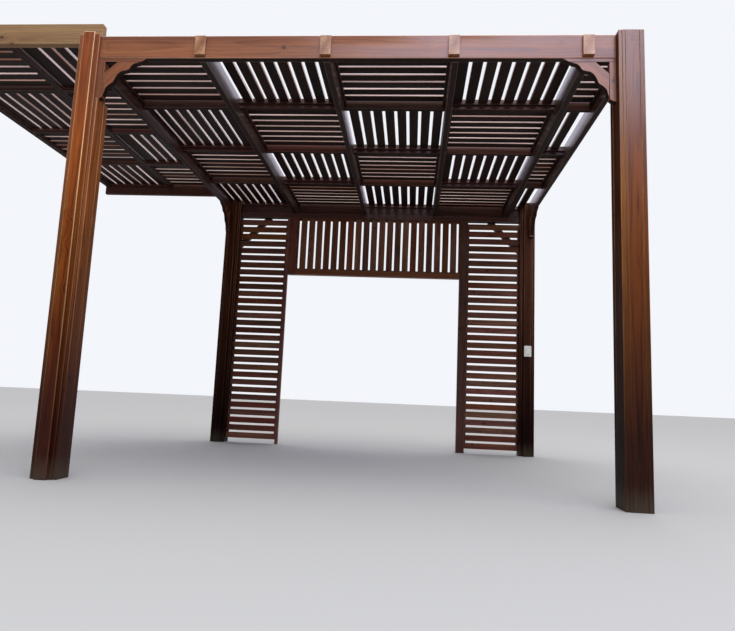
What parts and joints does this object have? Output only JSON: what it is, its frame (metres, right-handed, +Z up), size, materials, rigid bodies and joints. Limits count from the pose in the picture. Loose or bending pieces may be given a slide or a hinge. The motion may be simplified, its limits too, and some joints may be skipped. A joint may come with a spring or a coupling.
{
  "type": "wooden pergola",
  "caption": "Free-standing timber pergola with a chequered slatted roof, a raised side wing, scalloped corner brackets and a slatted rear screen around a wide walk-through opening.",
  "frame": {"origin": "middle of the footprint of the whole frame, on the level of the post feet", "axes": "+X runs along the front from the side wing to the plain end, +Y runs from the open front to the screened rear, +Z is up"},
  "size_m": [4.579, 3.129, 2.704],
  "materials": {
    "frame_wood": "stained and oiled softwood, weathered, with pale worn edges",
    "slat_wood": "stained softwood slats, darker on the underside",
    "box_plastic": "plain white moulded plastic"
  },
  "bodies": {
    "root": {"beam_front": "frame_wood", "beam_left": "frame_wood", "beam_rear": "frame_wood", "beam_right": "frame_wood", "brace_rear_left": "frame_wood", "brace_rear_right": "frame_wood", "bracket_front_left": "frame_wood", "bracket_front_right": "frame_wood", "bracket_side_left": "frame_wood", "bracket_side_right": "frame_wood", "cross_beam_1": "frame_wood", "cross_beam_2": "frame_wood", "cross_beam_3": "frame_wood", "header_rail": "frame_wood", "header_slats": "slat_wood", "header_stile": "frame_wood", "post_front_left": "frame_wood", "post_front_right": "frame_wood", "post_middle": "frame_wood", "post_rear_left": "frame_wood", "post_rear_right": "frame_wood", "rafter_1": "frame_wood", "rafter_2": "frame_wood", "rafter_3": "frame_wood", "rafter_4": "frame_wood", "roof_slats_1": "slat_wood", "roof_slats_2": "slat_wood", "roof_slats_3": "slat_wood", "roof_slats_4": "slat_wood", "roof_slats_5": "slat_wood", "screen_slats_left": "slat_wood", "screen_slats_right": "slat_wood", "screen_top_rail": "frame_wood", "screen_trim_left": "frame_wood", "switch_box": "box_plastic", "wing_beam_front": "frame_wood", "wing_beam_rear": "frame_wood", "wing_bearer": "frame_wood", "wing_cross_beam_1": "frame_wood", "wing_cross_beam_2": "frame_wood", "wing_cross_beam_3": "frame_wood", "wing_edge_beam": "frame_wood", "wing_rafter": "frame_wood", "wing_slats_left": "slat_wood", "wing_slats_right": "slat_wood"}
  },
  "joints": []
}
